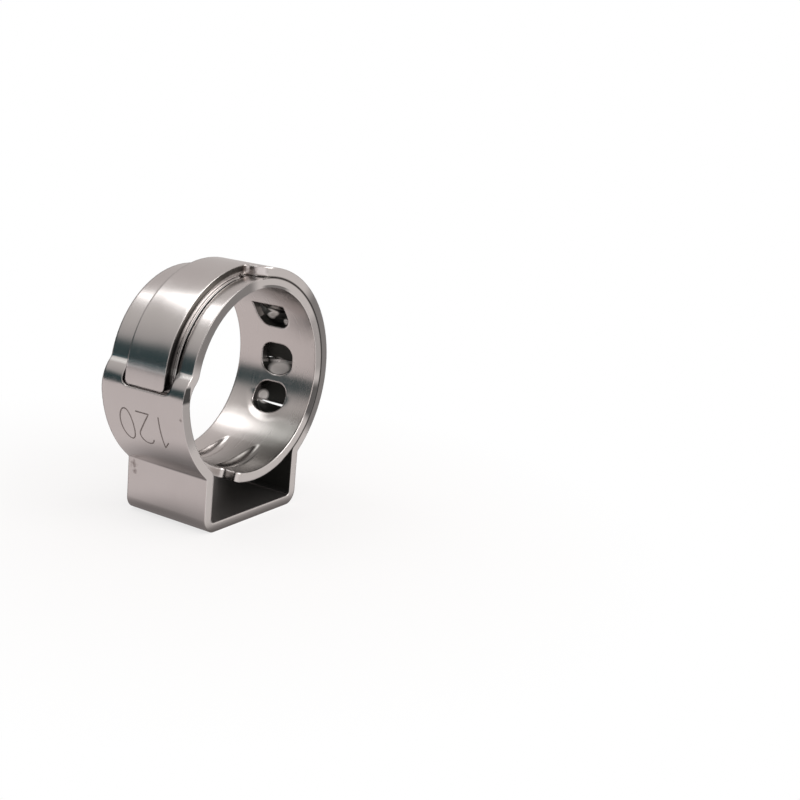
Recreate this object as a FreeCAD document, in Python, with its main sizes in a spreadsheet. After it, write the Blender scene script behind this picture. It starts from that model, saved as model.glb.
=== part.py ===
import FreeCAD, Part
import math
import os
import Sketcher

# Ear hose clamp folded from one steel strip.
# The ring lies in the XZ plane and its bore runs along Y.
# The ear hangs at -Z and the origin is the middle of the bore.
# Angles are in degrees from +X towards +Z, as seen from the front (-Y).
#
# The strip makes almost two turns. Its inner end is a narrow tongue that lies in a slot
# at the upper left, runs down under the left side and widens to the full strip below the
# ear. The full strip goes up the right side and over the top, where the slot splits it
# in two rails. At nine o'clock it steps outward by one thickness, passes the left side
# as the outer layer, folds into the ear and climbs the right side again, over the hooks
# of the inner layer. Past the top it narrows to the outer tongue, which covers the slot.

os.makedirs("parts", exist_ok=True)
doc = FreeCAD.newDocument("ear_hose_clamp")

# Driving sizes, in millimetres and degrees
sheet = doc.addObject("Spreadsheet::Sheet", "Sizes")
table = [
    ("bore_radius", 5.95, "inside radius of the open ring"),
    ("strip_thick", 0.6, "thickness of the strip"),
    ("strip_width", 6.5, "full width of the strip"),
    ("layer_gap", 0.04, "clearance between the two layers"),
    ("joggle_angle", 168.3, "where the outward step begins"),
    ("joggle_bend", 0.4, "inside radius of the step's first bend"),
    ("joggle_crest", 1.8, "inside radius of the step's second bend"),
    ("rail_end", 160.0, "where the rails hand over to the step's profile"),
    ("slot_from", 95.0, "upper end of the slot"),
    ("slot_to", 181.0, "lower end of the slot, past the outer tongue"),
    ("slot_width", 3.8, "width of the slot between the rails"),
    ("tongue_off", 0.2, "how far the slot and both tongues lie towards the front edge"),
    ("slot_corner", 0.45, "corner radius at the slot's lower end"),
    ("inner_tongue_width", 3.5, "width of the inner tongue"),
    ("inner_tongue_tip", 97.5, "where the inner tongue ends in the slot"),
    ("tongue_splice", 200.0, "where the two lengths of the inner tongue are joined"),
    ("inner_shoulder", 254.5, "where the inner tongue widens to the strip"),
    ("outer_tongue_width", 3.1, "width of the outer tongue"),
    ("outer_tongue_tip", 179.7, "where the outer tongue ends"),
    ("tongue_corner", 0.3, "corner radius at both tongue tips"),
    ("front_shoulder", 92.0, "where the outer layer narrows on the front edge"),
    ("rear_shoulder", 72.0, "where the outer layer narrows on the rear edge"),
    ("shoulder_round", 1.1, "radius of the shoulders' outward corners"),
    ("shoulder_fillet", 0.35, "radius where the shoulders meet the tongues"),
    ("ear_width", 9.2, "width of the ear over its walls"),
    ("ear_reach", 9.12, "from the bore's axis to the outside of the ear"),
    ("ear_corner", 0.3, "inside radius of the ear's corners"),
    ("neck_bend", 0.2, "inside radius where the ear leaves the ring"),
    ("window_width", 3.3, "width of the windows in the outer layer"),
    ("window_corner", 0.4, "corner radius of the windows"),
    ("lance_width", 2.6, "width of the openings in the inner layer"),
    ("lance_corner", 0.9, "corner radius of the openings"),
    ("lance_angle", 12.5, "angle of the opening ahead of a drawn hook"),
    ("hook_radius", 7.6, "radius that the drawn hooks reach"),
    ("hook_run", 1.2, "length of the ramp of a drawn hook"),
    ("hook_wall", 0.3, "wall left around a drawn hook"),
    ("upper_hook", -1.5, "mouth of the upper drawn hook"),
    ("lower_hook", 332.5, "mouth of the lower drawn hook"),
    ("window_play", 1, "degrees between a hook's lip and the end of its window"),
    ("tab_low", 23.0, "lower end of the bent tab's opening"),
    ("tab_high", 42.0, "upper end of the bent tab's opening"),
    ("tab_width", 2.0, "width of the bent tab"),
    ("tab_radius", 7.55, "radius that the bent tab's tip reaches"),
    ("bead_angle", 276.0, "middle of the two beads under the ear"),
    ("bead_pitch", 2.6, "distance between the two beads"),
    ("bead_swing", 2.36, "from the bore's axis to the axis the beads curve about"),
    ("bead_place", 5.5, "from the bore's axis to the centre of a bead's section"),
    ("bead_groove", 0.75, "radius of a bead's groove"),
    ("bead_ridge", 1.25, "radius of a bead's ridge"),
    ("bead_root", 6.2, "radius at which a bead's ridge is rooted in the strip"),
]
for row, (alias, value, note) in enumerate(table, start=1):
    sheet.set("A%d" % row, str(value))
    sheet.setAlias("A%d" % row, alias)
    sheet.set("B%d" % row, note)
doc.recompute()


class Size:
    """A number and the sheet expression that gives it."""

    def __init__(self, value, text):
        self.value = value
        self.text = text

    def __add__(self, other):
        other = as_size(other)
        return Size(self.value + other.value, "(%s + %s)" % (self.text, other.text))

    def __sub__(self, other):
        other = as_size(other)
        return Size(self.value - other.value, "(%s - %s)" % (self.text, other.text))

    def __mul__(self, other):
        other = as_size(other)
        return Size(self.value * other.value, "(%s * %s)" % (self.text, other.text))


def as_size(thing):
    if isinstance(thing, Size):
        return thing
    return Size(float(thing), "(%s)" % float(thing))


def cell(alias):
    return Size(float(sheet.get(alias)), "Sizes." + alias)


def cosine(angle):
    return Size(math.cos(math.radians(angle.value)), "cos(%s * 1 deg)" % angle.text)


def sine(angle):
    return Size(math.sin(math.radians(angle.value)), "sin(%s * 1 deg)" % angle.text)


thick = cell("strip_thick")
inner_face = cell("bore_radius")
inner_back = inner_face + thick
outer_face = inner_back + cell("layer_gap")
outer_back = outer_face + thick
between = inner_back + cell("layer_gap") * 0.5


def polar(radius, angle):
    turn = math.radians(angle)
    return FreeCAD.Vector(radius * math.cos(turn), radius * math.sin(turn), 0)


def arc(centre, radius, start, end):
    circle = Part.Circle(FreeCAD.Vector(centre[0], centre[1], 0), FreeCAD.Vector(0, 0, 1), radius)
    return Part.ArcOfCircle(circle, math.radians(start), math.radians(end))


def new_sketch(body, name, role="XZ_Plane"):
    sketch = body.newObject("Sketcher::SketchObject", name)
    plane = [f for f in body.Origin.OriginFeatures if f.Role == role][0]
    sketch.AttachmentSupport = [(plane, "")]
    sketch.MapMode = "FlatFace"
    return sketch


def bind(sketch, name, size, kind, *where):
    """Add a dimension and tie it to the sheet."""
    value = math.radians(size.value) if kind == "Angle" else size.value
    index = sketch.addConstraint(Sketcher.Constraint(kind, *where, value))
    sketch.renameConstraint(index, name)
    text = size.text + " * 1 deg" if kind == "Angle" else size.text
    sketch.setExpression("Constraints." + name, text)


def radial_line(sketch, inner_point, outer_point, name, angle):
    """A line that points away from the bore's axis at a given angle."""
    line = sketch.addGeometry(Part.LineSegment(inner_point, outer_point), False)
    sketch.addConstraint(Sketcher.Constraint("PointOnObject", -1, 1, line))
    bind(sketch, name, angle, "Angle", line)
    return line


def sector(body, name, low, high, start, end, turn=None):
    """A piece of ring between two radii and two angles, on a plane turned about the bore."""
    sketch = new_sketch(body, name)
    if turn:
        sketch.AttachmentOffset = FreeCAD.Placement(
            FreeCAD.Vector(0, 0, 0), FreeCAD.Rotation(FreeCAD.Vector(0, 0, 1), turn.value)
        )
        sketch.setExpression("AttachmentOffset.Rotation.Angle", turn.text + " * 1 deg")
        start = start - turn
        end = end - turn
    a0 = start.value
    a1 = end.value
    inside = sketch.addGeometry(arc((0, 0), low.value, a0, a1), False)
    outside = sketch.addGeometry(arc((0, 0), high.value, a0, a1), False)
    for ring in (inside, outside):
        sketch.addConstraint(Sketcher.Constraint("Coincident", ring, 3, -1, 1))
    bind(sketch, "low", low, "Radius", inside)
    bind(sketch, "high", high, "Radius", outside)
    first = radial_line(sketch, polar(low.value, a0), polar(high.value, a0), "start", start)
    last = radial_line(sketch, polar(low.value, a1), polar(high.value, a1), "end", end)
    sketch.addConstraint(Sketcher.Constraint("Coincident", first, 1, inside, 1))
    sketch.addConstraint(Sketcher.Constraint("Coincident", first, 2, outside, 1))
    sketch.addConstraint(Sketcher.Constraint("Coincident", last, 1, inside, 2))
    sketch.addConstraint(Sketcher.Constraint("Coincident", last, 2, outside, 2))
    return sketch


def across(body, kind, name, sketch, width):
    """Pad or pocket a sketch to both sides of its plane."""
    feature = body.newObject("PartDesign::" + kind, name)
    feature.Profile = sketch
    feature.SideType = "Symmetric"
    feature.Length = width.value
    feature.setExpression("Length", width.text)
    sketch.Visibility = False
    doc.recompute()
    return feature


def towards_front(sketch, off):
    """Move a sketch along the bore, towards the front edge of the strip."""
    sketch.AttachmentOffset = FreeCAD.Placement(
        FreeCAD.Vector(0, 0, off.value), FreeCAD.Rotation()
    )
    sketch.setExpression("AttachmentOffset.Base.z", off.text)


def upright_edges(shape, radius, angle, offset):
    """Names of the straight edges that run radially at an angle and a distance from y = 0."""
    found = []
    for index, edge in enumerate(shape.Edges, start=1):
        ends = [v.Point for v in edge.Vertexes]
        if len(ends) != 2 or abs(ends[0].y - ends[1].y) > 1e-4:
            continue
        if edge.Length - ends[0].distanceToPoint(ends[1]) > 1e-6:
            continue
        mid = (ends[0] + ends[1]) * 0.5
        turn = math.degrees(math.atan2(mid.z, mid.x))
        off = abs((turn - angle + 180) % 360 - 180)
        if off > 0.3 or abs(math.hypot(mid.x, mid.z) - radius) > 0.2:
            continue
        if any(abs(mid.y - place) < 0.01 for place in offset):
            found.append("Edge%d" % index)
    return found


def round_upright(body, name, radius, middle, angle, offset):
    """Round the corners that the strip has in plan at one angle of the ring."""
    edges = upright_edges(body.Tip.Shape, middle.value, angle.value, offset)
    if not edges:
        raise RuntimeError(name + " found no edge")
    base = body.Tip
    fillet = body.newObject("PartDesign::Fillet", name)
    fillet.Base = (base, edges)
    fillet.Radius = radius.value
    fillet.setExpression("Radius", radius.text)
    doc.recompute()
    return fillet


body = doc.addObject("PartDesign::Body", "clamp_band")
body.Label = "clamp_band"


# The strip from the step round the left side, the ear and up the right side.
# Its two faces are two chains of tangent arcs and lines that share their centres.
def step_and_ear(body):
    sketch = new_sketch(body, "StripProfile")
    ri = inner_face.value
    tk = thick.value
    ro = outer_face.value
    jb = cell("joggle_bend").value
    jc = cell("joggle_crest").value
    nb = cell("neck_bend").value
    ec = cell("ear_corner").value
    half = cell("ear_width").value / 2
    deep = cell("ear_reach").value
    # centres of the two bends of the step
    reach_a = ri + tk + jb
    reach_b = ro - jc
    between_bends = jb + tk + jc
    turn = math.degrees(
        math.acos((reach_a ** 2 + reach_b ** 2 - between_bends ** 2) / (2 * reach_a * reach_b))
    )
    angle_a = cell("joggle_angle").value
    centre_a = polar(reach_a, angle_a)
    centre_b = polar(reach_b, angle_a + turn)
    slant = math.degrees(math.atan2(centre_b.y - centre_a.y, centre_b.x - centre_a.x)) % 360
    # centres where the ear leaves the ring and of its corners
    neck_x = half + nb
    neck_z = -math.sqrt((ro + tk + nb) ** 2 - neck_x ** 2)
    neck_turn = math.degrees(math.atan2(-neck_z, neck_x))
    corner_x = half - tk - ec
    corner_z = -(deep - tk - ec)

    # kind, centre, radius of the inner face, start and end in counter-clockwise sense,
    # and whether the strip follows the arc counter-clockwise
    path = [
        ("arc", (0, 0), ri, cell("rail_end").value, angle_a, True),
        ("arc", (centre_a.x, centre_a.y), jb + tk, slant, angle_a + 180, False),
        ("arc", (centre_b.x, centre_b.y), jc, slant - 180, angle_a + turn, True),
        ("arc", (0, 0), ro, angle_a + turn, 180 + neck_turn, True),
        ("arc", (-neck_x, neck_z), nb + tk, 0, neck_turn, False),
        ("line", (-half + tk, neck_z), (-half + tk, corner_z), (-1, 0)),
        ("arc", (-corner_x, corner_z), ec, 180, 270, True),
        ("line", (-corner_x, tk - deep), (corner_x, tk - deep), (0, -1)),
        ("arc", (corner_x, corner_z), ec, 270, 360, True),
        ("line", (half - tk, corner_z), (half - tk, neck_z), (1, 0)),
        ("arc", (neck_x, neck_z), nb + tk, 180 - neck_turn, 180, False),
        ("arc", (0, 0), ro, 360 - neck_turn, 360 + cell("front_shoulder").value, True),
    ]
    faces = []
    for side in (0, 1):
        chain = []
        for piece in path:
            if piece[0] == "arc":
                kind, centre, radius, start, end, forward = piece
                while end < start:
                    end = end + 360
                if side == 1:
                    radius = radius + tk if forward else radius - tk
                index = sketch.addGeometry(arc(centre, radius, start, end), False)
                ends = (1, 2) if forward else (2, 1)
            else:
                kind, start, end, away = piece
                shift = FreeCAD.Vector(away[0] * tk * side, away[1] * tk * side, 0)
                first = FreeCAD.Vector(start[0], start[1], 0) + shift
                last = FreeCAD.Vector(end[0], end[1], 0) + shift
                index = sketch.addGeometry(Part.LineSegment(first, last), False)
                ends = (1, 2)
            chain.append((index, ends[0], ends[1]))
        for before, after in zip(chain, chain[1:]):
            sketch.addConstraint(
                Sketcher.Constraint("Tangent", before[0], before[2], after[0], after[1])
            )
        faces.append(chain)
    near, far = faces
    for order, piece in enumerate(path):
        if piece[0] == "line":
            level = "Horizontal" if piece[3][0] == 0 else "Vertical"
            for chain in faces:
                sketch.addConstraint(Sketcher.Constraint(level, chain[order][0]))
        elif piece[1] == (0, 0):
            for chain in faces:
                sketch.addConstraint(Sketcher.Constraint("Coincident", chain[order][0], 3, -1, 1))
        else:
            sketch.addConstraint(
                Sketcher.Constraint("Coincident", near[order][0], 3, far[order][0], 3)
            )
    # sizes of the inner face; the outer face follows from the shared centres
    bind(sketch, "rail_face", inner_face, "Radius", near[0][0])
    bind(sketch, "rail_back", inner_back, "Radius", far[0][0])
    bind(sketch, "first_bend", cell("joggle_bend") + thick, "Radius", near[1][0])
    bind(sketch, "second_bend", cell("joggle_crest"), "Radius", near[2][0])
    bind(sketch, "layer_face", outer_face, "Radius", near[3][0])
    bind(sketch, "left_neck", cell("neck_bend") + thick, "Radius", near[4][0])
    bind(sketch, "left_corner", cell("ear_corner"), "Radius", near[6][0])
    bind(sketch, "right_corner", cell("ear_corner"), "Radius", near[8][0])
    bind(sketch, "right_neck", cell("neck_bend") + thick, "Radius", near[10][0])
    bind(sketch, "right_face", outer_face, "Radius", near[11][0])
    wall = cell("ear_width") * 0.5 - thick
    bind(sketch, "left_wall", wall, "DistanceX", near[5][0], 1, -1, 1)
    bind(sketch, "right_wall", wall, "DistanceX", -1, 1, near[9][0], 1)
    bind(sketch, "ear_floor", cell("ear_reach") - thick, "DistanceY", near[7][0], 1, -1, 1)
    # the step's place, by a helper line through its first centre
    guide = sketch.addGeometry(Part.LineSegment(FreeCAD.Vector(0, 0, 0), centre_a), True)
    sketch.addConstraint(Sketcher.Constraint("Coincident", guide, 1, -1, 1))
    sketch.addConstraint(Sketcher.Constraint("Coincident", guide, 2, near[1][0], 3))
    bind(sketch, "step_place", cell("joggle_angle"), "Angle", guide)
    # both ends of the profile are cut square to the ring
    a0 = cell("rail_end").value
    a1 = cell("front_shoulder").value
    first = radial_line(sketch, polar(ri, a0), polar(ri + tk, a0), "start", cell("rail_end"))
    last = radial_line(sketch, polar(ro, a1), polar(ro + tk, a1), "end", cell("front_shoulder"))
    sketch.addConstraint(Sketcher.Constraint("Coincident", first, 1, near[0][0], near[0][1]))
    sketch.addConstraint(Sketcher.Constraint("Coincident", first, 2, far[0][0], far[0][1]))
    sketch.addConstraint(Sketcher.Constraint("Coincident", last, 1, near[11][0], near[11][2]))
    sketch.addConstraint(Sketcher.Constraint("Coincident", last, 2, far[11][0], far[11][2]))
    return sketch


profile = step_and_ear(body)
across(body, "Pad", "OuterStrip", profile, cell("strip_width"))

# The inner layer, full width, from the shoulder under the ear round to the step
ring = sector(
    body, "InnerProfile", inner_face, inner_back, cell("inner_shoulder"), cell("rail_end") + 360
)
across(body, "Pad", "InnerStrip", ring, cell("strip_width"))

# The slot runs from the top to just past nine o'clock and leaves a rail on either side
slot = sector(
    body, "SlotProfile", inner_face - 0.5, outer_back + 0.5, cell("slot_from"), cell("slot_to")
)
tongue_off = cell("tongue_off")
towards_front(slot, tongue_off)
across(body, "Pocket", "Slot", slot, cell("slot_width"))


def both_sides(width):
    """The places along the bore of the two edges of a tongue or slot of this width."""
    return (
        width.value / 2 - tongue_off.value,
        -width.value / 2 - tongue_off.value,
    )


slot_sides = both_sides(cell("slot_width"))
round_upright(
    body, "SlotCorners", cell("slot_corner"), outer_face + thick * 0.5, cell("slot_to"),
    slot_sides,
)
round_upright(
    body, "SlotHead", cell("shoulder_fillet"), inner_face + thick * 0.5, cell("slot_from"),
    slot_sides,
)

# The outer layer narrows to the outer tongue, earlier on its rear edge than on its front
tongue = sector(
    body, "OuterTongueProfile", outer_face, outer_back,
    cell("front_shoulder") - 1, cell("outer_tongue_tip"),
)
towards_front(tongue, tongue_off)
across(body, "Pad", "OuterTongue", tongue, cell("outer_tongue_width"))
step = sector(
    body, "RearShoulderProfile", between, outer_back + 0.5,
    cell("rear_shoulder"), cell("front_shoulder") + 1,
)
spare = (cell("strip_width") - cell("outer_tongue_width")) * 0.5 + tongue_off + 0.5
middle_of_cut = cell("outer_tongue_width") * 0.5 + spare * 0.5 - tongue_off
towards_front(step, middle_of_cut * -1)
across(body, "Pocket", "RearShoulder", step, spare)
outer_sides = both_sides(cell("outer_tongue_width"))
half_strip = cell("strip_width").value / 2
middle = outer_face + thick * 0.5
round_upright(
    body, "OuterTip", cell("tongue_corner"), middle, cell("outer_tongue_tip"),
    outer_sides,
)
round_upright(
    body, "FrontShoulderRound", cell("shoulder_round"), middle, cell("front_shoulder"),
    (-half_strip,),
)
round_upright(
    body, "RearShoulderRound", cell("shoulder_round"), middle, cell("rear_shoulder"),
    (half_strip,),
)
round_upright(
    body, "FrontShoulderFillet", cell("shoulder_fillet"), middle, cell("front_shoulder"),
    outer_sides[1:],
)
round_upright(
    body, "RearShoulderFillet", cell("shoulder_fillet"), middle, cell("rear_shoulder"),
    outer_sides[:1],
)


# Below the ear the full strip narrows to the inner tongue, which passes under the left side
tongue = sector(
    body, "InnerTongueProfile", inner_face, inner_back,
    cell("tongue_splice"), cell("inner_shoulder") + 1,
)
towards_front(tongue, tongue_off)
across(body, "Pad", "InnerTongue", tongue, cell("inner_tongue_width"))
inner_sides = both_sides(cell("inner_tongue_width"))
middle = inner_face + thick * 0.5
round_upright(
    body, "InnerShoulder", cell("shoulder_fillet"), middle, cell("inner_shoulder"),
    inner_sides + (half_strip, -half_strip),
)


# Windows in the outer layer and lanced openings in the inner one
def opening(name, low, high, start, end, width, corner, ends):
    profile = sector(body, name + "Profile", low, high, start, end, start - 45)
    across(body, "Pocket", name, profile, width)
    half = width.value / 2
    middle = inner_face + thick * 0.5 if low.value < inner_back.value else outer_face + thick * 0.5
    for order, angle in enumerate(ends):
        round_upright(body, "%sCorners%d" % (name, order), corner, middle, angle, (half, -half))


lance = cell("lance_width")
window = cell("window_width")
for name, mouth in (("Upper", cell("upper_hook")), ("Lower", cell("lower_hook"))):
    low_end = mouth - 12
    high_end = mouth + cell("window_play")
    opening(
        name + "Window", between, outer_back + 0.5, low_end, high_end, window,
        cell("window_corner"), (low_end, high_end),
    )
    far_end = mouth + cell("lance_angle")
    opening(
        name + "Lance", inner_face - 0.5, between, mouth, far_end, lance,
        cell("lance_corner"), (far_end,),
    )
tab_tip = cell("tab_low") + 4.5
opening(
    "TabWindow", between, outer_back + 0.5, tab_tip - cell("window_play"),
    cell("tab_high") + 4, window, cell("window_corner"),
    (tab_tip - cell("window_play"), cell("tab_high") + 4),
)
opening(
    "TabLance", inner_face - 0.5, between, cell("tab_low"), cell("tab_high"), lance,
    cell("lance_corner"), (cell("tab_low"),),
)


# A drawn hook is a quarter of an ellipsoid pressed outward, open towards its lanced mouth
def scoop(name, mouth):
    centre = inner_face + 0.05
    for kind in ("Additive", "Subtractive"):
        hook = body.newObject("PartDesign::%sEllipsoid" % kind, name + kind)
        plane = [f for f in body.Origin.OriginFeatures if f.Role == "XZ_Plane"][0]
        hook.AttachmentSupport = [(plane, "")]
        hook.MapMode = "FlatFace"
        grown = cell("hook_wall") if kind == "Additive" else as_size(0)
        reach = cell("hook_radius") - centre - cell("hook_wall") + grown
        side = lance * 0.5 + grown
        run = cell("hook_run") - cell("hook_wall") + grown
        if kind == "Additive":
            turn = mouth - 90
            sweep = 90
            sizes = (side, run, reach)
        else:
            turn = mouth - 180
            sweep = 180
            sizes = (side, reach, run)
        hook.AttachmentOffset = FreeCAD.Placement(
            polar(centre.value, mouth.value), FreeCAD.Rotation(FreeCAD.Vector(0, 0, 1), turn.value)
        )
        hook.setExpression("AttachmentOffset.Base.x", (centre * cosine(mouth)).text)
        hook.setExpression("AttachmentOffset.Base.y", (centre * sine(mouth)).text)
        hook.setExpression("AttachmentOffset.Rotation.Angle", turn.text + " * 1 deg")
        for number, size in enumerate(sizes, start=1):
            setattr(hook, "Radius%d" % number, size.value)
            hook.setExpression("Radius%d" % number, size.text)
        hook.Angle1 = -90
        hook.Angle2 = 90
        hook.Angle3 = sweep
        doc.recompute()


scoop("UpperHook", cell("upper_hook"))
scoop("LowerHook", cell("lower_hook"))


# The tab is bent outward from the upper end of its opening and points down
def bent_tab():
    sketch = new_sketch(body, "TabProfile")
    root = cell("tab_high") + 1
    tip = tab_tip
    reach = cell("tab_radius")
    corners = [
        (inner_face + 0.05, root),
        (reach - thick, tip),
        (reach, tip + 1.5),
        (inner_back, root + 2),
    ]
    points = [polar(radius.value, angle.value) for radius, angle in corners]
    for order, point in enumerate(points):
        sketch.addGeometry(Part.LineSegment(point, points[(order + 1) % len(points)]), False)
    for order in range(len(points)):
        after = (order + 1) % len(points)
        sketch.addConstraint(Sketcher.Constraint("Coincident", order, 2, after, 1))
    for order, (radius, angle) in enumerate(corners):
        bind(sketch, "across%d" % order, radius * cosine(angle), "DistanceX", -1, 1, order, 1)
        bind(sketch, "up%d" % order, radius * sine(angle), "DistanceY", -1, 1, order, 1)
    across(body, "Pad", "BentTab", sketch, cell("tab_width"))


bent_tab()


# Two beads under the ear are pressed outward and fade out at both ends, because they
# curve about an axis nearer to them than the bore's
def beads():
    for kind, size, tall in (("Revolution", "bead_ridge", 64), ("Groove", "bead_groove", 80)):
        sketch = new_sketch(body, "Bead%sProfile" % kind, "YZ_Plane")
        sketch.AttachmentOffset = FreeCAD.Placement(
            FreeCAD.Vector(0, 0, 0),
            FreeCAD.Rotation(FreeCAD.Vector(1, 0, 0), 270 - cell("bead_angle").value),
        )
        sketch.setExpression(
            "AttachmentOffset.Rotation.Angle", "(270 - Sizes.bead_angle) * 1 deg"
        )
        swing = cell("bead_swing")
        place = cell("bead_place")
        radius = cell(size)
        for side in (-1, 1):
            centre = (side * cell("bead_pitch").value / 2, -place.value)
            if kind == "Revolution":
                rise = place.value - cell("bead_root").value
                half = math.sqrt(radius.value ** 2 - rise ** 2)
                spread = math.degrees(math.asin(half / radius.value))
                curve = sketch.addGeometry(
                    arc(centre, radius.value, 270 - spread, 270 + spread), False
                )
                first = FreeCAD.Vector(centre[0] - half, -cell("bead_root").value, 0)
                last = FreeCAD.Vector(centre[0] + half, -cell("bead_root").value, 0)
                chord = sketch.addGeometry(Part.LineSegment(first, last), False)
                sketch.addConstraint(Sketcher.Constraint("Coincident", chord, 1, curve, 1))
                sketch.addConstraint(Sketcher.Constraint("Coincident", chord, 2, curve, 2))
                sketch.addConstraint(Sketcher.Constraint("Horizontal", chord))
                name = "root%d" % (side + 1)
                bind(sketch, name, cell("bead_root"), "DistanceY", chord, 1, -1, 1)
            else:
                circle = Part.Circle(
                    FreeCAD.Vector(centre[0], centre[1], 0), FreeCAD.Vector(0, 0, 1), radius.value
                )
                curve = sketch.addGeometry(circle, False)
            bind(sketch, "radius%d" % (side + 1), radius, "Radius", curve)
            bind(sketch, "place%d" % (side + 1), place, "DistanceY", curve, 3, -1, 1)
            ends = (-1, 1, curve, 3) if side == 1 else (curve, 3, -1, 1)
            bind(sketch, "off%d" % (side + 1), cell("bead_pitch") * 0.5, "DistanceX", *ends)
        axis = sketch.addGeometry(
            Part.LineSegment(
                FreeCAD.Vector(-1, -swing.value, 0), FreeCAD.Vector(1, -swing.value, 0)
            ),
            True,
        )
        sketch.addConstraint(Sketcher.Constraint("Horizontal", axis))
        bind(sketch, "swing", swing, "DistanceY", axis, 1, -1, 1)
        bind(sketch, "axis_left", as_size(1), "DistanceX", axis, 1, -1, 1)
        bind(sketch, "axis_right", as_size(1), "DistanceX", -1, 1, axis, 2)
        doc.recompute()
        feature = body.newObject("PartDesign::" + kind, "Bead" + kind)
        feature.Profile = sketch
        feature.ReferenceAxis = (sketch, ["Axis0"])
        feature.Angle = tall
        feature.Midplane = True
        sketch.Visibility = False
        doc.recompute()


beads()


# The rest of the inner tongue goes up into the slot. It is added last and its faces stay
# apart from the others, because together they would go round more than a full turn.
tongue = sector(
    body, "TongueEndProfile", inner_face, inner_back,
    cell("inner_tongue_tip"), cell("tongue_splice"),
)
towards_front(tongue, tongue_off)
tongue_end = across(body, "Pad", "TongueEnd", tongue, cell("inner_tongue_width"))
tongue_end.Refine = False
doc.recompute()
tip = round_upright(
    body, "InnerTip", cell("tongue_corner"), inner_face + thick * 0.5, cell("inner_tongue_tip"),
    inner_sides,
)
tip.Refine = False
doc.recompute()


# Nothing is written unless every object is sound
for thing in doc.Objects:
    if "Invalid" in thing.State or "Error" in thing.State:
        raise RuntimeError("failed: " + thing.Name)
shape = body.Shape
if shape.isNull() or not shape.isValid() or len(shape.Solids) != 1:
    raise RuntimeError("clamp_band is not one valid solid")
shape.exportStep("parts/clamp_band.step")
box = shape.BoundBox
print("clamp_band: %.2f by %.2f by %.2f mm" % (box.XLength, box.YLength, box.ZLength))
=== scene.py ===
# %% [markdown]
# An open ear clamp for a small hose, photographed on white.
# The clamp is one strip of stainless steel, so its shape comes whole from the frame.
# What is left for Blender is the finish: rolled faces, sheared edges, a scribed
# number, and a studio whose light and dark parts show in the metal.

# %% Load the frame
import math
import bpy
from mathutils import Euler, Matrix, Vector


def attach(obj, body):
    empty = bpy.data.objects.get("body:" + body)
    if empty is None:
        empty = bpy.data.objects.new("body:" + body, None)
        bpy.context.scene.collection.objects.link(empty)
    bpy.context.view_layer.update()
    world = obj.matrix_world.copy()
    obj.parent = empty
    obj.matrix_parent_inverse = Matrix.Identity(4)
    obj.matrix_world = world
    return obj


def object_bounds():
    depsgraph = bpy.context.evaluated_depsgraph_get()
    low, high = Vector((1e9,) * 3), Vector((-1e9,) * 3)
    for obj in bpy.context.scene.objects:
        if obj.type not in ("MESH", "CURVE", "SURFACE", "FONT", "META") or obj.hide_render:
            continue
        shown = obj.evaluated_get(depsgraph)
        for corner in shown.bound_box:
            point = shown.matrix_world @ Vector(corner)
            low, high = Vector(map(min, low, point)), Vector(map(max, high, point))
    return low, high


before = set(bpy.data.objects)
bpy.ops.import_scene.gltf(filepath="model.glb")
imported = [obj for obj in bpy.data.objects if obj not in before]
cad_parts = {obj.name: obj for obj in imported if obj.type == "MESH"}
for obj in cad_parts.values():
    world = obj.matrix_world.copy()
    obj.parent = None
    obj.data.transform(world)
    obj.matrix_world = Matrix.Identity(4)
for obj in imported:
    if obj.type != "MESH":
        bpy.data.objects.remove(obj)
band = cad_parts["clamp_band"]
cad_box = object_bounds()
print("strip from", [round(v * 1000, 2) for v in cad_box[0]],
      "to", [round(v * 1000, 2) for v in cad_box[1]], "mm")

# %% [markdown]
# Sizes that the finish needs. Radii are measured from the axis of the bore: the number
# is scribed on the outer face, and the two layers meet a little farther in. The clamp
# stands on the flat underside of its ear.

# %% Sizes in metres
MM = 0.001
OUTER_RADIUS = 7.19 * MM
LAYERS_MEET = 6.57 * MM
STAND_HEIGHT = cad_box[0].z
EDGE_ROUND = 0.17 * MM
print("stands at", round(STAND_HEIGHT / MM, 3), "mm")

# %% [markdown]
# Node trees read better when a helper places a node and sets its plain values.
# plug() takes either kind of item: an output is wired to the socket, and a plain
# number or colour is written on it. feed() does so for several sockets by name, with
# an underline where the name has a space.


# %% Helpers that place nodes
def add(tree, kind, label="", **settings):
    node = tree.nodes.new(kind)
    node.label = label
    for key, setting in settings.items():
        setattr(node, key, setting)
    return node


def join(tree, start, end):
    tree.links.new(start, end)


def plug(tree, item, socket):
    if isinstance(item, bpy.types.NodeSocket):
        join(tree, item, socket)
    else:
        socket.default_value = item


def feed(tree, node, **items):
    for title, item in items.items():
        plug(tree, item, node.inputs[title.replace("_", " ")])


def group(name, inputs, outputs):
    tree = bpy.data.node_groups.new(name, "ShaderNodeTree")
    for title, default in inputs.items():
        kind = "NodeSocketVector" if default is None else "NodeSocketFloat"
        socket = tree.interface.new_socket(title, in_out="INPUT", socket_type=kind)
        if default is not None:
            socket.default_value = default
    for title in outputs:
        tree.interface.new_socket(title, in_out="OUTPUT", socket_type="NodeSocketFloat")
    given, out = tree.nodes.new("NodeGroupInput"), tree.nodes.new("NodeGroupOutput")
    return tree, given.outputs, out.inputs


# %% [markdown]
# Most of the work is sums on numbers and places. value() chains one operation over
# all its items, ease() turns a measure into a mask that goes from 0 to 1 between two
# limits, and tinted() mixes two colours by a mask.


# %% Helpers for sums, masks and colours
def value(tree, operation, first, second=None, *others, clamp=False):
    node = add(tree, "ShaderNodeMath", operation=operation, use_clamp=clamp)
    plug(tree, first, node.inputs[0])
    if second is not None:
        plug(tree, second, node.inputs[1])
    if others:
        return value(tree, operation, node.outputs[0], *others, clamp=clamp)
    return node.outputs[0]


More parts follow.
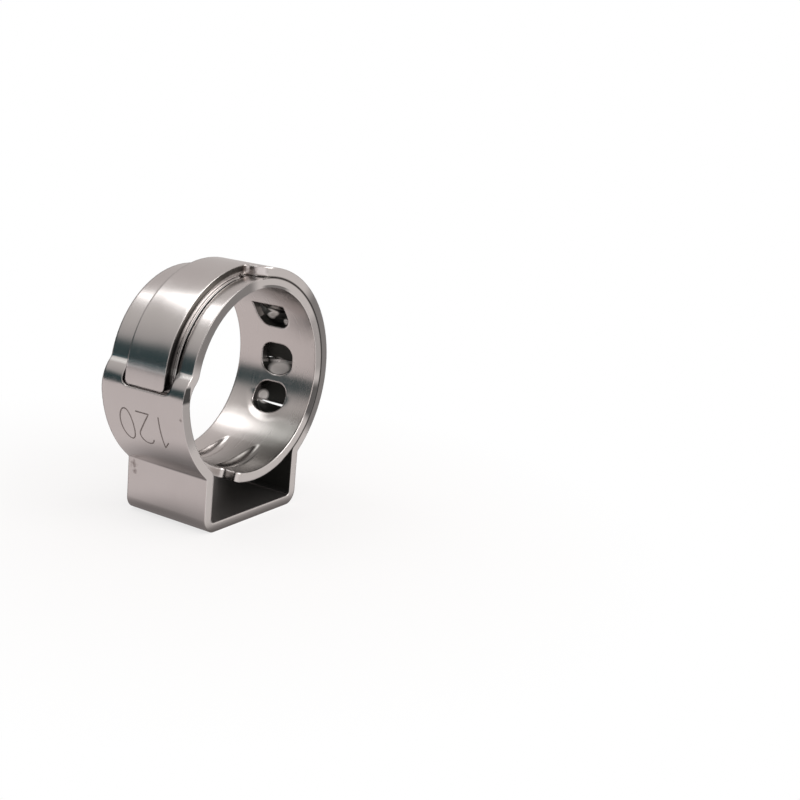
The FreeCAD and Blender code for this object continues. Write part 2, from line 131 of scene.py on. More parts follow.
def without(tree, mask):
    return value(tree, "SUBTRACT", 1.0, mask)


def vector(tree, operation, first, second=None, label=""):
    node = add(tree, "ShaderNodeVectorMath", label, operation=operation)
    plug(tree, first, node.inputs[0])
    if second is not None:
        plug(tree, second, node.inputs[1])
    measured = operation in ("LENGTH", "DISTANCE", "DOT_PRODUCT")
    return node.outputs["Value" if measured else "Vector"]


def apart(tree, item):
    node = add(tree, "ShaderNodeSeparateXYZ")
    join(tree, item, node.inputs[0])
    return node.outputs


def from_axis(tree, coordinates):
    spoke = vector(tree, "MULTIPLY", coordinates, (1.0, 0.0, 1.0), "away from the axis")
    return spoke, vector(tree, "LENGTH", spoke)


def ease(tree, label, item, start, end, low=0.0, high=1.0, kind="SMOOTHSTEP"):
    node = add(tree, "ShaderNodeMapRange", label, interpolation_type=kind)
    feed(tree, node, Value=item, From_Min=start, From_Max=end, To_Min=low, To_Max=high)
    return node.outputs[0]


def noise(tree, label, coordinates, scale, **settings):
    node = add(tree, "ShaderNodeTexNoise", label)
    feed(tree, node, Vector=coordinates, Scale=scale, **settings)
    return node.outputs["Fac"]


def tinted(tree, label, mask, first, second):
    node = add(tree, "ShaderNodeMix", label, data_type="RGBA")
    plug(tree, mask, node.inputs[0])
    for socket, colour in ((node.inputs[6], first), (node.inputs[7], second)):
        plug(tree, (*colour, 1.0) if isinstance(colour, tuple) else colour, socket)
    return node.outputs[2]


# %% [markdown]
# Cold-rolled strip carries very fine lines along its length, which stretch each
# highlight across the width. The band is bent in the XZ plane, so noise that changes
# fast along Y and slowly along X and Z follows the strip all the way round, with no
# seam and no unwrapping.

# %% Rolled lines as a group
rolled, given, out = group(
    "Rolled lines", {"Coordinates": None, "Lines per mm": 9.0, "Length in mm": 4.0},
    ("Lines", "Cloud", "Waves"))
across = value(rolled, "MULTIPLY", given["Lines per mm"], 1000.0)
along = value(rolled, "DIVIDE", 1000.0, given["Length in mm"])
pace = add(rolled, "ShaderNodeCombineXYZ")
feed(rolled, pace, X=along, Y=across, Z=along)
stretched = vector(rolled, "MULTIPLY", given["Coordinates"], pace.outputs[0])
join(rolled, noise(rolled, "fine lines", stretched, 1.0, Detail=4.0, Roughness=0.62),
     out["Lines"])
join(rolled, noise(rolled, "handling and rinse marks", given["Coordinates"], 420.0,
                   Detail=5.0), out["Cloud"])
join(rolled, noise(rolled, "slow waves of the rolled sheet", given["Coordinates"], 260.0,
                   Detail=1.0), out["Waves"])
print("group:", rolled.name, len(rolled.nodes), "nodes")

# %% [markdown]
# The strip was sheared to width. A sheared edge faces along Y, is duller than the
# rolled face and slightly torn, so a mask built from the surface normal tells the
# two apart. The walls of the slot and of the openings are torn in their outer half,
# which gets a mask of its own. Its near-black colour is partly duller torn steel and
# partly painted shade, where these walls lie in shadow.

# %% Sheared edges as a group
FLAT_EDGE, EDGE_WITH_RIM = (0.70, 0.90), (0.35, 0.65)
STRIP_SIDES = (3.10 * MM, 2.90 * MM)
TORN_PART = (6.76 * MM, 6.84 * MM)
sheared, given, out = group(
    "Sheared edge", {"Coordinates": None, "Facing": None}, ("Edge", "Inside", "Seam", "Tear"))
sideways = value(sheared, "ABSOLUTE", apart(sheared, given["Facing"])["Y"])
edge_face = ease(sheared, "faces along Y", sideways, *FLAT_EDGE)
join(sheared, edge_face, out["Edge"])
join(sheared, noise(sheared, "torn grain", given["Coordinates"], 5200.0, Detail=3.0),
     out["Tear"])
where = apart(sheared, given["Coordinates"])
reach = from_axis(sheared, given["Coordinates"])[1]
inner = ease(sheared, "away from the strip's own two edges",
             value(sheared, "ABSOLUTE", where["Y"]), *STRIP_SIDES, kind="LINEAR")
torn = ease(sheared, "torn beyond the burnished part", reach, *TORN_PART, kind="LINEAR")
join(sheared, value(sheared, "MULTIPLY", edge_face, inner, torn), out["Inside"])

# %% [markdown]
# The seam between the two layers is a thin ring of painted shade at one distance from
# the axis. It shows on the right and over the top, where the layers lie on each other.

# %% Painted shade along the seam between the two layers
SEAM_REACH, SEAM_ENDS = (0.10 * MM, 0.05 * MM), {"X": -0.5 * MM, "Z": -5.8 * MM}
off_seam = value(sheared, "ABSOLUTE", value(sheared, "SUBTRACT", reach, LAYERS_MEET))
seam = ease(sheared, "close to where the layers meet", off_seam, *SEAM_REACH, kind="LINEAR")
for side, end in SEAM_ENDS.items():
    seam = value(sheared, "MULTIPLY", seam,
                 value(sheared, "GREATER_THAN", where[side], end))
join(sheared, value(sheared, "MULTIPLY", seam,
                    value(sheared, "GREATER_THAN", sideways, EDGE_WITH_RIM[0])), out["Seam"])
print("group:", sheared.name, len(sheared.nodes), "nodes")

# %% [markdown]
# A few stray marks come from the reel and from handling: short hair scratches that
# run mostly along the strip. The borders of squeezed Voronoi cells are long thin
# lines, and a noise keeps only some of them.

# %% Hair scratches as a group
scratched, given, out = group(
    "Hair scratches", {"Coordinates": None, "Scale": 900.0, "Amount": 0.5}, ("Scratch",))
slant = add(scratched, "ShaderNodeMapping", "slant")
feed(scratched, slant, Vector=given["Coordinates"], Rotation=(0.35, 0.0, 0.5),
     Scale=(0.18, 1.0, 0.18))
cells = add(scratched, "ShaderNodeTexVoronoi", "scratch lines", feature="DISTANCE_TO_EDGE")
feed(scratched, cells, Vector=slant.outputs[0], Scale=given["Scale"])
thin = ease(scratched, "thin lines", cells.outputs["Distance"], 0.0, 0.022, 1.0, 0.0,
            kind="LINEAR")
patches = noise(scratched, "where scratches lie", given["Coordinates"], 700.0)
some = value(scratched, "GREATER_THAN", patches, 0.56)
join(scratched, value(scratched, "MULTIPLY", thin, some, given["Amount"]), out["Scratch"])
print("group:", scratched.name, len(scratched.nodes), "nodes")

# %% [markdown]
# Faces that lie inside the fold, behind the hooks and inside the ear, get painted
# shade, dark as the shadow there. They are the faces that look towards the bore from
# farther out than the bore wall, which two simple measures find: the distance from the
# axis and whether the face looks inwards.

# %% Painted shade in the fold as a group
LOOKS_INWARDS, LOOKS_OUTWARDS = (-0.15, -0.45), 0.35
HOOK_SIDE, HOOK_HALF_WIDTH = 5.0 * MM, 2.5 * MM
fold_shade, given, out = group(
    "Painted shade in the fold", {"Coordinates": None, "Facing": None, "From radius": 6.42 * MM,
                  "To radius": 6.56 * MM}, ("Painted fold shade", "Bore", "Painted bore shade"))
where = apart(fold_shade, given["Coordinates"])
facing = apart(fold_shade, given["Facing"])
spoke, reach = from_axis(fold_shade, given["Coordinates"])
looks = vector(fold_shade, "DOT_PRODUCT", vector(fold_shade, "NORMALIZE", spoke), given["Facing"])
inward = ease(fold_shade, "looks inwards", looks, *LOOKS_INWARDS)
beyond = ease(fold_shade, "beyond the bore wall", reach, given["From radius"], given["To radius"])
hooks = value(fold_shade, "GREATER_THAN", where["X"], HOOK_SIDE)
lips = value(fold_shade, "MULTIPLY", hooks, value(fold_shade, "LESS_THAN", looks, LOOKS_OUTWARDS),
             value(fold_shade, "LESS_THAN", value(fold_shade, "ABSOLUTE", where["Y"]), HOOK_HALF_WIDTH))
hidden = value(fold_shade, "MULTIPLY", value(fold_shade, "MAXIMUM", inward, lips), beyond)

# %% [markdown]
# The painted shade is weaker on the ramp of the middle hook and on the ear's floor,
# and it is full in the mouths of the openings, on the faces that look up.

# %% Where the painted shade is weaker and where it is full
RAMP_SLOPES, RAMP_LESS_SHADE = (-0.22, -0.035), 0.8
FLOOR_TOP, FLOOR_LESS_SHADE = -7.5 * MM, 0.30
MOUTH_RADIUS, LEANS_UP, LIES_FLAT = 6.02 * MM, 0.4, 0.7
slope = value(fold_shade, "DIVIDE", where["Z"], where["X"])
middle_ramp = value(fold_shade, "MULTIPLY", value(fold_shade, "GREATER_THAN", slope, RAMP_SLOPES[0]),
                    value(fold_shade, "LESS_THAN", slope, RAMP_SLOPES[1]), hooks, RAMP_LESS_SHADE)
ear_floor = value(fold_shade, "MULTIPLY", value(fold_shade, "GREATER_THAN", facing["Z"], LIES_FLAT),
                  value(fold_shade, "LESS_THAN", where["Z"], FLOOR_TOP), FLOOR_LESS_SHADE)
shade_kept = without(fold_shade, value(fold_shade, "ADD", middle_ramp, ear_floor))
mouths = value(fold_shade, "MULTIPLY", lips,
               value(fold_shade, "GREATER_THAN", facing["Z"], LEANS_UP),
               value(fold_shade, "GREATER_THAN", reach, MOUTH_RADIUS))
join(fold_shade, value(fold_shade, "MAXIMUM", mouths, value(fold_shade, "MULTIPLY", hidden, shade_kept)),
     out["Painted fold shade"])

# %% [markdown]
# The bore wall is duller than the outside. Painted shade darkens it at the top and
# low down towards the front.

# %% Bore wall
bore = value(fold_shade, "MULTIPLY", inward, without(fold_shade, beyond))
join(fold_shade, bore, out["Bore"])
low = ease(fold_shade, "lower part of the bore", where["Z"], -2.6 * MM, -4.2 * MM)
ahead = ease(fold_shade, "front part of the bore", where["Y"], 2.6 * MM, -2.2 * MM)
top = ease(fold_shade, "upper part of the bore", where["Z"], 3.4 * MM, 5.4 * MM, high=0.6)
join(fold_shade, value(fold_shade, "MULTIPLY", bore, value(
    fold_shade, "MAXIMUM", top, value(fold_shade, "MULTIPLY", low, ahead))), out["Painted bore shade"])
print("group:", fold_shade.name, len(fold_shade.nodes), "nodes")

# %% [markdown]
# The light and shade on the cut edges are painted into their colour. The outer layer's
# edge is darker on the side of the hooks, the inner layer's on the upper left, the
# slot's walls near its lower end, and the top of the step gets a painted highlight.
# Each tone holds for a stretch round the ring, in degrees from the top, positive
# towards the hooks. Four angles say where it starts, is full, starts to fade and ends.


# %% Painted edge shading as a group
OUTER_LAYER, INNER_RIM, SLOT_HALF_WIDTH = 6.58 * MM, 6.10 * MM, 2.6 * MM


def stretch(tree, angle, rise, full, fading, gone):
    return value(tree, "MULTIPLY", ease(tree, "starts", angle, rise, full),
                 ease(tree, "ends", angle, gone, fading))


edge_shading, given, out = group(
    "Painted edge shading", {"Coordinates": None, "Facing": None}, ("Shade", "Painted step highlight"))
where = apart(edge_shading, given["Coordinates"])
turn = value(edge_shading, "MULTIPLY", value(edge_shading, "ARCTAN2", where["X"], where["Z"]),
             180.0 / math.pi)
reach = from_axis(edge_shading, given["Coordinates"])[1]
outer = value(edge_shading, "GREATER_THAN", reach, OUTER_LAYER)
inner = without(edge_shading, outer)
rim = value(edge_shading, "LESS_THAN", reach, INNER_RIM)
slot = value(edge_shading, "LESS_THAN", value(edge_shading, "ABSOLUTE", where["Y"]), SLOT_HALF_WIDTH)

# %% [markdown]
# Each row names the layer, how much of the light it takes away and its four angles.
# What the stretches leave is multiplied, so that two that overlap never go below black.

# %% Stretches of painted shade and the painted highlight on the step
STEP_TOP = (-82, -80.5, -78.5, -77)
bare = 1.0
for layer, depth, ends in ((slot, 0.85, (-93, -88, -68, -56)),
                           (inner, 0.62, (-80, -70, -16, -6)),
                           (inner, 0.33, (50, 60, 88, 96)),
                           (inner, 0.85, (96, 103, 118, 125)),
                           (rim, 0.70, (-6, 0, 16, 26)),
                           (outer, 0.66, (34, 48, 122, 132)),
                           (outer, 0.93, (-94, -92, -86, -84)),
                           (outer, 0.30, (-122, -112, -95, -90))):
    tone = value(edge_shading, "MULTIPLY", stretch(edge_shading, turn, *ends), layer, depth)
    bare = value(edge_shading, "MULTIPLY", bare, without(edge_shading, tone))
cut_face = ease(edge_shading, "cut edges and their rims", value(
    edge_shading, "ABSOLUTE", apart(edge_shading, given["Facing"])["Y"]), *EDGE_WITH_RIM)
join(edge_shading, value(edge_shading, "MULTIPLY", cut_face, without(edge_shading, bare)), out["Shade"])
# The top of the step gets a painted highlight.
join(edge_shading, value(edge_shading, "MULTIPLY", stretch(edge_shading, turn, *STEP_TOP),
                  without(edge_shading, cut_face)), out["Painted step highlight"])
print("group:", edge_shading.name, len(edge_shading.nodes), "nodes")

# %% [markdown]
# Small marks, patches of painted shade and painted highlights are all a soft disc round
# a point. A noise added to the distance makes the rim ragged, which suits dirt and the
# painted shade, and without it the disc is smooth, which suits a painted highlight.

# %% Small marks as a group
marked, given, out = group(
    "Small mark", {"Coordinates": None, "Centre": None, "Size": 0.2 * MM, "Ragged": 1.6},
    ("Mark",))
gap = vector(marked, "DISTANCE", given["Coordinates"], given["Centre"])
fray = noise(marked, "ragged rim", given["Coordinates"], 6000.0)
share = value(marked, "ADD", value(marked, "DIVIDE", gap, given["Size"]), value(
    marked, "MULTIPLY", value(marked, "SUBTRACT", fray, 0.5), given["Ragged"]))
join(marked, value(marked, "SUBTRACT", 1.0, share, clamp=True), out["Mark"])
print("group:", marked.name, len(marked.nodes), "nodes")

# %% [markdown]
# Satin stainless is a metal with a warm grey colour and a roughness of about 0.2.
# The sharp edges of the model are rounded in the shading by a Bevel node, which gives
# the thin bright lines that run along every edge of the real strip. The same rounded
# normal tells the cut edges from the rolled faces.


# %% Groups placed in the steel
def use(tree, label, made, **items):
    node = add(tree, "ShaderNodeGroup", label, node_tree=made)
    feed(tree, node, **items)
    return node.outputs


steel = bpy.data.materials.new("satin stainless strip")
steel.use_nodes = True
tree = steel.node_tree
shader = tree.nodes["Principled BSDF"]
place = add(tree, "ShaderNodeTexCoord").outputs
on_strip = place["Object"]
rounded = add(tree, "ShaderNodeBevel", "broken edge", samples=8)
rounded.inputs["Radius"].default_value = EDGE_ROUND
soft = add(tree, "ShaderNodeVectorTransform", "rounded facing", vector_type="NORMAL",
           convert_from="WORLD", convert_to="OBJECT")
join(tree, rounded.outputs[0], soft.inputs[0])
grain = use(tree, "rolled face", rolled, Coordinates=on_strip, Lines_per_mm=9.0,
            Length_in_mm=5.0)
edge = use(tree, "sheared edge", sheared, Coordinates=on_strip, Facing=soft.outputs[0])
tones = use(tree, "painted edge shading", edge_shading, Coordinates=on_strip, Facing=soft.outputs[0])
hair = use(tree, "hair scratches", scratched, Coordinates=on_strip, Amount=0.4)
bore_and_fold_shade = use(tree, "painted shade in the fold", fold_shade, Coordinates=on_strip, Facing=place["Normal"])

# %% [markdown]
# A speck lies by the front edge and two smudges at the top of the ear; painted shade
# darkens the corner at the slot's upper end. Four small spots in the hooks are painted
# highlights, which are matte and pale. Centres and sizes are in millimetres.


# %% Marks, painted shade and painted highlights
def spots(tree, places, **look):
    return value(tree, "MAXIMUM", *[
        use(tree, label, marked, Coordinates=on_strip, Centre=[c * MM for c in centre],
            Size=size * MM, **look)["Mark"] for label, centre, size in places])


# Painted highlights: pale, matte spots on the hooks.
painted_hook_highlights = value(tree, "MULTIPLY", spots(tree, (
    ("ramp of the upper hook", (6.00, 0.70, 3.19), 0.50),
    ("lip of the upper hook", (6.12, -0.55, 2.73), 0.32),
    ("ramp of the middle hook", (6.65, 0.25, -0.79), 0.85),
    ("ramp of the lower hook", (6.17, 1.00, -2.83), 0.55)), Ragged=0.0), 3.0, clamp=True)
# Stains and smudges, and painted shade in the slot's upper corner.
stains_and_corner_shade = value(tree, "MULTIPLY", spots(tree, (
    ("speck by the front edge", (-7.058, -3.05, -1.372), 0.13),
    ("upper smudge", (-4.60, 2.80, -5.95), 0.30),
    ("lower smudge", (-4.60, 2.70, -6.40), 0.24),
    ("painted shade in the slot's corner", (-0.30, -2.00, 6.85), 0.60))), 0.75)
print("marks and painted spots:", len([n for n in tree.nodes if n.type == "GROUP"
                                      and n.node_tree == marked]))

# %% [markdown]
# The colour is built like coats of paint. The warm, slightly cloudy grey comes first,
# and each later coat covers the ones before it where its mask is white.

# %% Colour of the steel
coat = tinted(tree, "warm grey, cloudy", grain["Cloud"], (0.60, 0.565, 0.555),
              (0.67, 0.64, 0.63))
shaded_torn_walls_and_seam = value(tree, "MAXIMUM", edge["Inside"], value(
    tree, "MULTIPLY", edge["Seam"], 0.9))
# Several later coats are painted light and shade: the torn walls and the seam, the edges, the
# step's highlight, the bore and the fold, the spots on the hooks and the slot's corner.
later_coats = (
    ("darker where sheared", edge["Edge"], (0.50, 0.475, 0.46)),
    ("painted shade on torn walls and seam", shaded_torn_walls_and_seam, (0.06, 0.055, 0.05)),
    ("painted edge shading", tones["Shade"], (0.02, 0.02, 0.02)),
    ("painted highlight at the step", tones["Painted step highlight"], (0.96, 0.94, 0.93)),
    ("duller in the bore", bore_and_fold_shade["Bore"], (0.65, 0.61, 0.595)),
    ("painted shade in the bore", bore_and_fold_shade["Painted bore shade"], (0.20, 0.195, 0.185)),
    ("painted shade inside the fold", bore_and_fold_shade["Painted fold shade"], (0.045, 0.045, 0.042)),
    ("painted highlights on the hooks", painted_hook_highlights, (0.95, 0.92, 0.90)),
    ("handling marks and painted corner shade", stains_and_corner_shade, (0.16, 0.125, 0.115)))
for label, mask, colour in later_coats:
    coat = tinted(tree, label, mask, coat, colour)
join(tree, coat, shader.inputs["Base Color"])
join(tree, without(tree, painted_hook_highlights), shader.inputs["Metallic"])
print("coats over the grey:", len(later_coats))

# %% [markdown]
# The rolling lines vary the roughness. The cut edges, the scratches and the bore are a
# little rougher, and the painted shade in the fold is dull.

# %% Roughness of the steel
SATIN = (0.17, 0.25)
rough = ease(tree, "satin roughness", grain["Lines"], 0.0, 1.0, *SATIN, kind="LINEAR")
for mask, more in ((edge["Edge"], 0.07), (hair["Scratch"], 0.10), (bore_and_fold_shade["Bore"], 0.04),
                   (bore_and_fold_shade["Painted fold shade"], 0.35)):
    rough = value(tree, "ADD", rough, value(tree, "MULTIPLY", mask, more))
join(tree, rough, shader.inputs["Roughness"])
print("rolled face: roughness from", SATIN[0], "to", SATIN[1])

# %% [markdown]
# Three Bump nodes follow each other, from the largest form to the finest: the strip
# drawn in a little below the lower hook, the slow waves of the rolled sheet, and the
# lines, scratches and torn grain. Each takes the normal of the one before.


# %% Relief of the steel
def bump(tree, label, strength, distance, height, normal):
    node = add(tree, "ShaderNodeBump", label)
    feed(tree, node, Strength=strength, Distance=distance, Height=height, Normal=normal)
    return node.outputs[0]


LOWER_HOOK = (5.59 * MM, -0.3 * MM, -2.03 * MM)
where = apart(tree, on_strip)
from_hook = vector(tree, "DISTANCE", on_strip, LOWER_HOOK, "from the lower hook")
sunk = value(tree, "MULTIPLY",
             without(tree, ease(tree, "strip drawn in", from_hook, 1.0 * MM, 2.4 * MM)),
             ease(tree, "below the lower hook", where["Z"], -2.2 * MM, -3.0 * MM),
             ease(tree, "less towards the front", where["Y"], -2.0 * MM, -0.4 * MM),
             bore_and_fold_shade["Bore"])
fine = value(tree, "SUBTRACT", value(tree, "MULTIPLY", grain["Lines"], 0.6),
             value(tree, "MULTIPLY", hair["Scratch"], 0.5))
fine = value(tree, "ADD", fine, value(tree, "MULTIPLY", edge["Tear"], edge["Edge"], 0.8))
facing = bump(tree, "strip drawn in by the hook", 1.0, 0.25 * MM,
              without(tree, sunk), rounded.outputs[0])
facing = bump(tree, "slow waves", 0.5, 0.12 * MM, grain["Waves"], facing)
facing = bump(tree, "surface relief", 0.22, 0.004 * MM, fine, facing)
join(tree, facing, shader.inputs["Normal"])

band.data.materials.clear()
band.data.materials.append(steel)
print("steel:", len(tree.nodes), "nodes")

# %% [markdown]
# The outer layer carries a thin number, scribed as single strokes. The strokes are
# drawn flat first, as lines on a sheet that is wrapped round the band afterwards.
# u runs across the strip and v round it; both are in millimetres from the middle
# of the number.


# %% Flat strokes of the number
def arc_points(middle, reach, start, stop, steps=18):
    turns = [math.radians(start + (stop - start) * i / steps) for i in range(steps + 1)]
    return [(middle[0] + reach[0] * math.cos(t), middle[1] + reach[1] * math.sin(t))
            for t in turns]


DIGIT_HIGH, DIGIT_WIDE, DIGIT_PITCH = 2.2, 1.05, 1.42
half_high, half_wide, bow = DIGIT_HIGH / 2, DIGIT_WIDE / 2, 0.52
stem, flag = 0.12, (-0.30, half_high - 0.5)
one = [flag, (stem, half_high), (stem, -half_high)]
two = (arc_points((0.0, half_high - bow), (half_wide, bow), 165, -35)
       + [(-half_wide, -half_high), (half_wide, -half_high)])
zero = arc_points((0.0, 0.0), (half_wide, half_high), 90, 450, 36)
strokes = [[(u + shift * DIGIT_PITCH, v) for u, v in digit]
           for shift, digit in ((-1, one), (0, two), (1, zero))]
print("strokes:", len(strokes), "points:", sum(len(s) for s in strokes))

# %% [markdown]
# A long straight stroke has to bend with the band, so each one is cut into short
# pieces before it becomes a curve.

# %% Strokes as a curve object
PIECE = 0.12
flat = bpy.data.curves.new("number_strokes", "CURVE")
flat.dimensions = "3D"
for digit in strokes:
    points = [digit[0]]
    for last, point in zip(digit, digit[1:]):
        count = max(1, round(math.dist(last, point) / PIECE))
        points += [(last[0] + (point[0] - last[0]) * i / count,
                    last[1] + (point[1] - last[1]) * i / count)
                   for i in range(1, count + 1)]
    run = flat.splines.new("POLY")
    run.points.add(len(points) - 1)
    for point, (u, v) in zip(run.points, points):
        point.co = (u * MM, v * MM, 0.0, 1.0)
number = bpy.data.objects.new("scribed_number", flat)
bpy.context.scene.collection.objects.link(number)
print("curve points:", sum(len(run.points) for run in flat.splines))

# %% [markdown]
# Geometry Nodes sweep one flat bar along every stroke. The tree's named inputs are the
# bar's width and depth and the place on the band, so changing the radius or the angle
# moves the whole number.

# %% Scribe tree
scribe = bpy.data.node_groups.new("Scribe round the band", "GeometryNodeTree")
face = scribe.interface
face.new_socket("Geometry", in_out="INPUT", socket_type="NodeSocketGeometry")
for title, default in (("Line Width", 0.1 * MM), ("Line Depth", 0.02 * MM),
                       ("Band Radius", OUTER_RADIUS), ("Angle", 200.0), ("Place", 0.0)):
    size = face.new_socket(title, in_out="INPUT", socket_type="NodeSocketFloat")
    size.default_value = default
face.new_socket("Ink", in_out="INPUT", socket_type="NodeSocketMaterial")
face.new_socket("Geometry", in_out="OUTPUT", socket_type="NodeSocketGeometry")
given, out = scribe.nodes.new("NodeGroupInput").outputs, scribe.nodes.new("NodeGroupOutput")
upright = add(scribe, "GeometryNodeSetCurveNormal")
upright.mode = "Z_UP"
join(scribe, given["Geometry"], upright.inputs["Curve"])
bar = add(scribe, "GeometryNodeCurvePrimitiveQuadrilateral", "bar section")
feed(scribe, bar, Width=given["Line Width"], Height=given["Line Depth"])
sweep = add(scribe, "GeometryNodeCurveToMesh", "sweep")
feed(scribe, sweep, Curve=upright.outputs[0], Profile_Curve=bar.outputs[0], Fill_Caps=True)

# %% [markdown]
# The sheet with the bars is then wrapped: v becomes an angle about the bore, u a place
# along the bore and the bar's height a distance beyond the band. Moving the points by
# their own coordinates needs no curve to follow and keeps every bar's width.

# %% Wrap the flat bars
on_sheet = apart(scribe, add(scribe, "GeometryNodeInputPosition").outputs[0])
turn = value(scribe, "ADD", value(scribe, "DIVIDE", on_sheet["Y"], given["Band Radius"]),
             value(scribe, "RADIANS", given["Angle"]))
reach = value(scribe, "ADD", given["Band Radius"], on_sheet["Z"])
wrapped = add(scribe, "ShaderNodeCombineXYZ")
feed(scribe, wrapped, X=value(scribe, "MULTIPLY", reach, value(scribe, "COSINE", turn)),
     Y=value(scribe, "ADD", on_sheet["X"], given["Place"]),
     Z=value(scribe, "MULTIPLY", reach, value(scribe, "SINE", turn)))
bent = add(scribe, "GeometryNodeSetPosition", "wrap")
feed(scribe, bent, Geometry=sweep.outputs[0], Position=wrapped.outputs[0])
whole = add(scribe, "GeometryNodeRealizeInstances")
join(scribe, bent.outputs[0], whole.inputs[0])
inked = add(scribe, "GeometryNodeSetMaterial")
feed(scribe, inked, Geometry=whole.outputs[0], Material=given["Ink"])
join(scribe, inked.outputs[0], out.inputs["Geometry"])
print("tree:", scribe.name, len(scribe.nodes), "nodes")

# %% [markdown]
# A scribed line in steel is a shallow cut that looks darker and browner than the
# satin round it, and breaks up a little along its length.

# %% Scribed line material
ink = bpy.data.materials.new("scribed line")
ink.use_nodes = True
tree = ink.node_tree
shader = tree.nodes["Principled BSDF"]
shader.inputs["Metallic"].default_value = 0.7
shader.inputs["Roughness"].default_value = 0.5
grain = use(tree, "broken line", rolled, Lines_per_mm=6.0, Length_in_mm=0.2,
            Coordinates=add(tree, "ShaderNodeTexCoord").outputs["Object"])
join(tree, tinted(tree, "dark cut", grain["Lines"], (0.15, 0.125, 0.118),
                  (0.34, 0.30, 0.29)), shader.inputs["Base Color"])
print(ink.name, "has", len(tree.nodes), "nodes")

# %% [markdown]
# A modifier's inputs are set by their identifiers. The result is made a plain mesh,
# and the curve with its modifier goes. On the real strip the lines are cut in. Here
# thin dark bars lie level with the face, which looks the same from any side and leaves
# the band's own mesh whole. They ride on the band's body.

# %% Apply the tree to the strokes
wrap = number.modifiers.new("Scribe", "NODES")
wrap.node_group = scribe
sizes = {"Line Width": 0.085 * MM, "Line Depth": 0.012 * MM, "Band Radius": OUTER_RADIUS,
         "Angle": 201.5, "Place": 0.05 * MM, "Ink": ink}
for item in face.items_tree:
    if item.in_out == "INPUT" and item.name in sizes:
        wrap[item.identifier] = sizes[item.name]
made = bpy.data.meshes.new_from_object(
    number.evaluated_get(bpy.context.evaluated_depsgraph_get()))
bpy.data.objects.remove(number)
number = bpy.data.objects.new("scribed_number", made)
bpy.context.scene.collection.objects.link(number)
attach(number, "root")
print("number:", len(made.polygons), "faces")

# %% [markdown]
# The clamp stands on its ear on a white sheet, which lies a hair below it so that the
# two faces don't share one plane.

# %% Floor
SHEET_HALF, SHEET_GAP = 1.2, 0.01 * MM
sheet = bpy.data.meshes.new("white_sheet")
sheet.from_pydata([(x * SHEET_HALF, y * SHEET_HALF, 0)
                   for x, y in ((-1, -1), (1, -1), (1, 1), (-1, 1))], [], [(0, 1, 2, 3)])
floor = bpy.data.objects.new("white_sheet", sheet)
floor.location.z = STAND_HEIGHT - SHEET_GAP
bpy.context.scene.collection.objects.link(floor)
print("sheet at", round(floor.location.z / MM, 3), "mm")

# %% [markdown]
# The camera sees the sheet white, except close to the clamp, where a plain diffuse
# share keeps the soft shadow. The metal sees another, glowing sheet with a painted
# shadow: dark under the clamp, grey round it and pale in front, which draws the tones
# low on the band and on the ear.

# %% White sheet
paper = bpy.data.materials.new("white sheet")
paper.use_nodes = True
tree = paper.node_tree
tree.nodes.remove(tree.nodes["Principled BSDF"])
lit = add(tree, "ShaderNodeBsdfDiffuse")
lit.inputs["Color"].default_value = (0.80, 0.765, 0.755, 1.0)
white = add(tree, "ShaderNodeEmission")
seen = add(tree, "ShaderNodeLightPath").outputs
on_sheet = add(tree, "ShaderNodeTexCoord").outputs["Object"]
spread = vector(tree, "LENGTH", on_sheet)
fade = ease(tree, "white away from the clamp", spread, 0.004, 0.030, 0.72, 1.0,
            kind="LINEAR")
near = ease(tree, "shade under the clamp", spread, 0.0050, 0.0100, low=0.30)
front = ease(tree, "in front of the clamp", apart(tree, on_sheet)["Y"], -0.0033, -0.0046)
paler = tinted(tree, "paler in front", front, (0.73, 0.675, 0.665), (0.98, 0.94, 0.93))
sheet_with_painted_shadow = tinted(tree, "darker close by", value(tree, "MAXIMUM", near, front),
               (0.02, 0.02, 0.02), paler)
join(tree, tinted(tree, "sheet that the metal sees", seen["Is Glossy Ray"],
                  (1.0, 1.0, 1.0), sheet_with_painted_shadow), white.inputs["Color"])
blend = add(tree, "ShaderNodeMixShader")
join(tree, value(tree, "MAXIMUM", value(tree, "MULTIPLY", fade, seen["Is Camera Ray"]),
                 seen["Is Glossy Ray"]), blend.inputs[0])
join(tree, lit.outputs[0], blend.inputs[1])
join(tree, white.outputs[0], blend.inputs[2])
join(tree, blend.outputs[0], tree.nodes["Material Output"].inputs["Surface"])
sheet.materials.append(paper)
print(paper.name, "has", len(tree.nodes), "nodes")

# %% [markdown]
# Metal shows the room. The steel sees a pale room that is dark low down on the left
# behind the clamp, which draws the dark bands on a curved satin surface, and that is
# paler in front.

# %% Room
world = bpy.data.worlds.new("pale studio")
bpy.context.scene.world = world
world.use_nodes = True
tree = world.node_tree
heading = add(tree, "ShaderNodeTexCoord").outputs["Generated"]
walls = add(tree, "ShaderNodeValToRGB", "dark band, wall, ceiling")
walls.color_ramp.interpolation = "EASE"
stops = [(0.0, (0.008, 0.034, 0.040)), (0.29, (0.020, 0.050, 0.056)),
         (0.38, (0.50, 0.48, 0.47)), (0.62, (0.62, 0.60, 0.58)),
         (0.84, (0.64, 0.62, 0.60)), (1.0, (0.66, 0.64, 0.62))]
knots = walls.color_ramp.elements
while len(knots) < len(stops):
    knots.new(0.5)
for knot, (at, colour) in zip(knots, stops):
    knot.position = at
    knot.color = (*colour, 1.0)
compass = apart(tree, heading)
join(tree, compass["Z"], walls.inputs[0])
left = ease(tree, "left side", compass["X"], 0.30, -0.30)
behind = ease(tree, "behind the clamp", compass["Y"], -0.25, 0.20)
room = tinted(tree, "pale on the other sides", value(tree, "MULTIPLY", left, behind),
              (0.62, 0.585, 0.57), walls.outputs[0])
room = tinted(tree, "paler in front", behind, (0.92, 0.88, 0.86), room)
print("stops from the floor to the ceiling:", len(knots))

# %% [markdown]
# A bright panel stands in front for the metal only, so that it shows as a highlight
# without lighting the rest. The camera itself sees plain white.

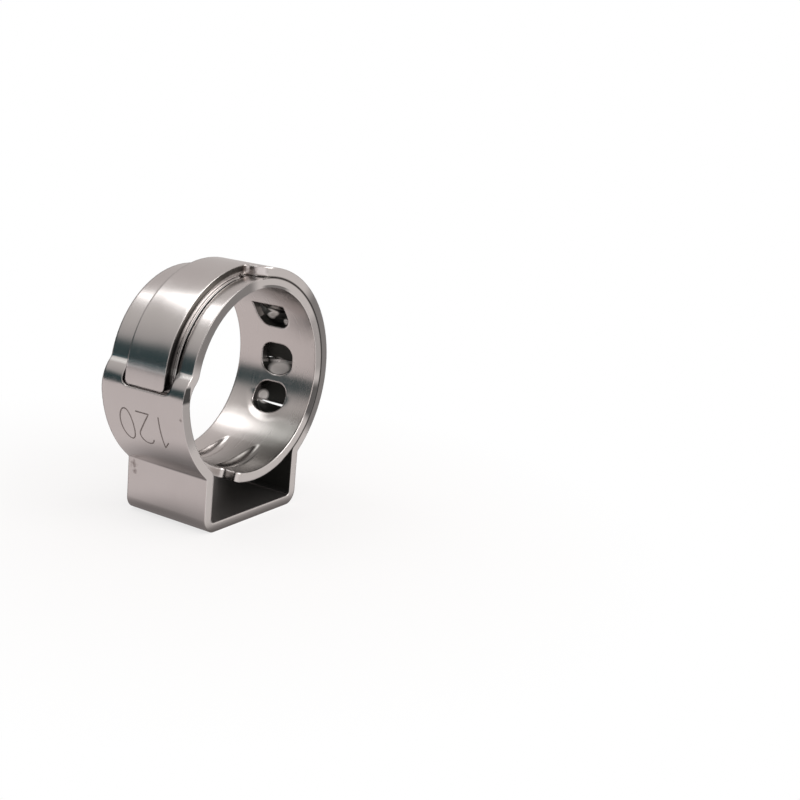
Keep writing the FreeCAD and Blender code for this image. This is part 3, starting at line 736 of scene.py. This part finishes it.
# %% Panel for the metal, white for the camera
PANEL = Vector((0.05, -0.75, 0.66)).normalized()
seen = add(tree, "ShaderNodeLightPath").outputs
towards = vector(tree, "DOT_PRODUCT", heading, PANEL, "towards the panel")
glow = ease(tree, "soft rim of the panel", towards, 0.84, 0.96)
room = tinted(tree, "bright panel in front",
              value(tree, "MULTIPLY", glow, seen["Is Glossy Ray"]), room, (3.2, 3.15, 3.1))
room = tinted(tree, "white to the camera", value(
    tree, "MAXIMUM", seen["Is Camera Ray"], seen["Is Transmission Ray"]), room,
    (1.0, 1.0, 1.0))
join(tree, room, tree.nodes["Background"].inputs["Color"])
print("room:", len(tree.nodes), "nodes")

# %% [markdown]
# One soft box hangs above and behind the clamp, a little to its left, and draws the
# broad highlight on the upper left of the band. Another hangs in front and lights the
# cut edges that face the camera. Both are near the clamp and small, so their power is
# small too: it is worked out from the wanted brightness.


# %% Soft boxes
def soft_box(name, heading, distance, size, brightness):
    lamp = bpy.data.lights.new(name, "AREA")
    lamp.shape = "RECTANGLE"
    lamp.size, lamp.size_y = size
    lamp.energy = brightness * math.pi * size[0] * size[1]
    box = bpy.data.objects.new(name, lamp)
    box.location = Vector(heading).normalized() * distance
    box.rotation_euler = Vector(heading).to_track_quat("Z", "Y").to_euler()
    bpy.context.scene.collection.objects.link(box)
    print(name, "gives", round(lamp.energy, 4), "W")


soft_box("high_back_box", (-0.21, 0.45, 0.865), 0.25, (0.11, 0.11), 2.5)
soft_box("front_box", (0.05, -0.75, 0.62), 0.30, (0.20, 0.20), 3.0)

# %% [markdown]
# The camera stands close to the clamp, a little above it and to its left, where the
# outlines of the band, the ear and the bore in the photograph are all met.

# %% Camera
eye = bpy.data.cameras.new("photograph")
eye.lens, eye.sensor_width = 51.416, 36.0
eye.clip_start, eye.clip_end = 0.001, 10.0
camera = bpy.data.objects.new("photograph", eye)
camera.location = (-0.056034813, -0.045957631, 0.016906909)
camera.rotation_euler = Euler([math.radians(a) for a in (76.091821, -5.536447, -58.535699)])
bpy.context.scene.collection.objects.link(camera)
bpy.context.scene.camera = camera
bpy.context.scene.view_settings.view_transform = "Standard"
print("camera", round(camera.location.length / MM, 1), "mm from the middle of the bore")
